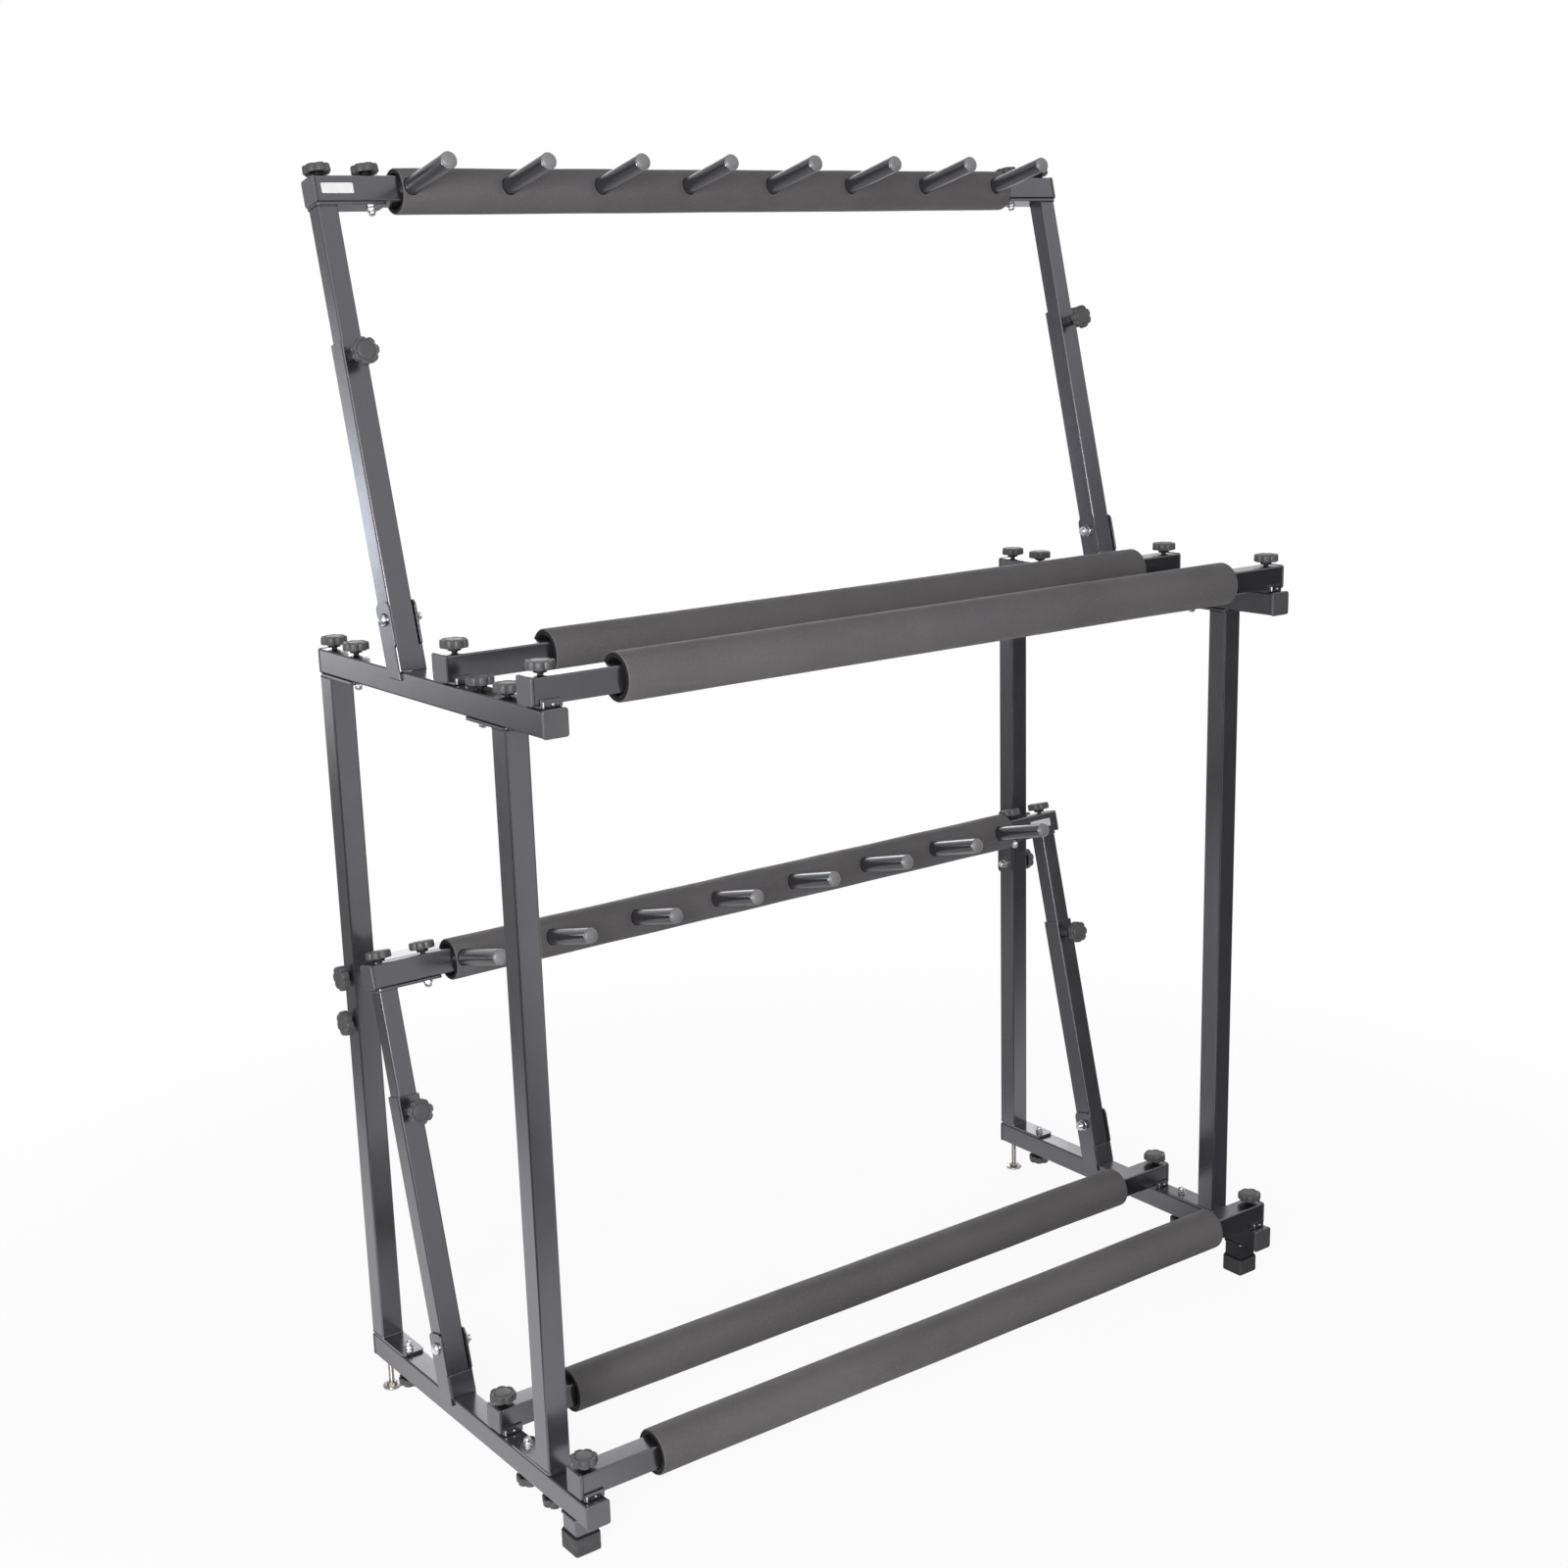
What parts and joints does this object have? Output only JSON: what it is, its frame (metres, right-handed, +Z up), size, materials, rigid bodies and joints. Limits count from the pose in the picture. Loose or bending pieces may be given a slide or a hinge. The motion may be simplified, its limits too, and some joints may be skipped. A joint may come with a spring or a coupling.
{
  "type": "racket display stand",
  "caption": "Two-tier shop display stand for rackets: bolted square-tube frame, padded crossbars, and on each tier a folding, height-adjustable back frame with pegs.",
  "frame": {"origin": "on the floor under the middle of the stand's bounding box", "axes": "+X to the right seen from the front, +Y to the back, +Z up; the pegs and the front crossbars face -Y"},
  "size_m": [0.9806, 0.4505, 1.3053],
  "materials": {
    "powder_coat": "satin black powder coat on steel tube",
    "knob_plastic": "matt black moulded star knobs with steel studs",
    "foam": "matt charcoal closed-cell foam",
    "rubber": "matt black rubber",
    "zinc": "bright zinc-plated steel",
    "label": "blank pale sticker"
  },
  "bodies": {
    "base_frame": {"upper_left_side_rail": "powder_coat", "upper_right_side_rail": "powder_coat", "upper_front_crossbar": "powder_coat", "upper_front_crossbar_sleeve": "foam", "upper_front_left_crossbar_knob": "knob_plastic", "upper_front_right_crossbar_knob": "knob_plastic", "upper_rear_crossbar": "powder_coat", "upper_rear_crossbar_sleeve": "foam", "upper_rear_left_crossbar_knob": "knob_plastic", "upper_rear_right_crossbar_knob": "knob_plastic", "upper_left_pivot_bolt": "zinc", "upper_right_pivot_bolt": "zinc", "lower_left_side_rail": "powder_coat", "lower_right_side_rail": "powder_coat", "lower_front_crossbar": "powder_coat", "lower_front_crossbar_sleeve": "foam", "lower_front_left_crossbar_knob": "knob_plastic", "lower_front_right_crossbar_knob": "knob_plastic", "lower_rear_crossbar": "powder_coat", "lower_rear_crossbar_sleeve": "foam", "lower_rear_left_crossbar_knob": "knob_plastic", "lower_rear_right_crossbar_knob": "knob_plastic", "lower_left_pivot_bolt": "zinc", "lower_right_pivot_bolt": "zinc", "front_left_post": "powder_coat", "front_right_post": "powder_coat", "rear_left_post": "powder_coat", "rear_right_post": "powder_coat", "rear_stretcher": "powder_coat", "left_front_foot_cap": "rubber", "right_front_foot_cap": "rubber"},
    "upper_struts": {"upper_left_outer_strut": "powder_coat", "upper_right_outer_strut": "powder_coat"},
    "upper_back_slider": {"upper_back_bar": "powder_coat", "upper_back_sleeve": "foam", "upper_back_bar_label": "label", "upper_left_inner_strut": "powder_coat", "upper_left_outer_bar_knob": "knob_plastic", "upper_left_inner_bar_knob": "knob_plastic", "upper_right_inner_strut": "powder_coat", "upper_right_outer_bar_knob": "knob_plastic", "upper_right_inner_bar_knob": "knob_plastic"},
    "upper_left_clamp": {"upper_left_clamp_knob": "knob_plastic"},
    "upper_right_clamp": {"upper_right_clamp_knob": "knob_plastic"},
    "lower_struts": {"lower_left_outer_strut": "powder_coat", "lower_right_outer_strut": "powder_coat"},
    "lower_back_slider": {"lower_back_bar": "powder_coat", "lower_back_sleeve": "foam", "lower_back_bar_label": "label", "lower_left_inner_strut": "powder_coat", "lower_left_outer_bar_knob": "knob_plastic", "lower_left_inner_bar_knob": "knob_plastic", "lower_right_inner_strut": "powder_coat", "lower_right_outer_bar_knob": "knob_plastic", "lower_right_inner_bar_knob": "knob_plastic"},
    "lower_left_clamp": {"lower_left_clamp_knob": "knob_plastic"},
    "lower_right_clamp": {"lower_right_clamp_knob": "knob_plastic"},
    "left_leveller": {"left_rear_leveller": "zinc"},
    "right_leveller": {"right_rear_leveller": "zinc"}
  },
  "joints": [
    {"name": "upper_back_fold", "type": "hinge", "parent": "base_frame", "child": "upper_struts", "pos_m": [0, 0.065, 0.875], "axis": [1, 0, 0], "range_deg": [0, 95]},
    {"name": "upper_back_slide", "type": "slide", "parent": "upper_struts", "child": "upper_back_slider", "axis": [0, 0.2419, 0.9703], "range_m": [-0.1, 0.07]},
    {"name": "upper_left_clamp_turn", "type": "hinge", "parent": "upper_struts", "child": "upper_left_clamp", "pos_m": [-0.465, 0.10608, 1.12241], "axis": [0, -0.9703, 0.2419], "range_deg": [0, 360]},
    {"name": "upper_right_clamp_turn", "type": "hinge", "parent": "upper_struts", "child": "upper_right_clamp", "pos_m": [0.465, 0.10608, 1.12241], "axis": [0, -0.9703, 0.2419], "range_deg": [0, 360]},
    {"name": "lower_back_fold", "type": "hinge", "parent": "base_frame", "child": "lower_struts", "pos_m": [0, 0.065, 0.111], "axis": [1, 0, 0], "range_deg": [0, 35]},
    {"name": "lower_back_slide", "type": "slide", "parent": "lower_struts", "child": "lower_back_slider", "axis": [0, 0.2419, 0.9703], "range_m": [-0.093, 0.07]},
    {"name": "lower_left_clamp_turn", "type": "hinge", "parent": "lower_struts", "child": "lower_left_clamp", "pos_m": [-0.465, 0.10608, 0.35841], "axis": [0, -0.9703, 0.2419], "range_deg": [0, 360]},
    {"name": "lower_right_clamp_turn", "type": "hinge", "parent": "lower_struts", "child": "lower_right_clamp", "pos_m": [0.465, 0.10608, 0.35841], "axis": [0, -0.9703, 0.2419], "range_deg": [0, 360]},
    {"name": "left_leveller_screw", "type": "slide", "parent": "base_frame", "child": "left_leveller", "axis": [0, 0, 1], "range_m": [-0.01, 0.015]},
    {"name": "right_leveller_screw", "type": "slide", "parent": "base_frame", "child": "right_leveller", "axis": [0, 0, 1], "range_m": [-0.01, 0.015]}
  ]
}
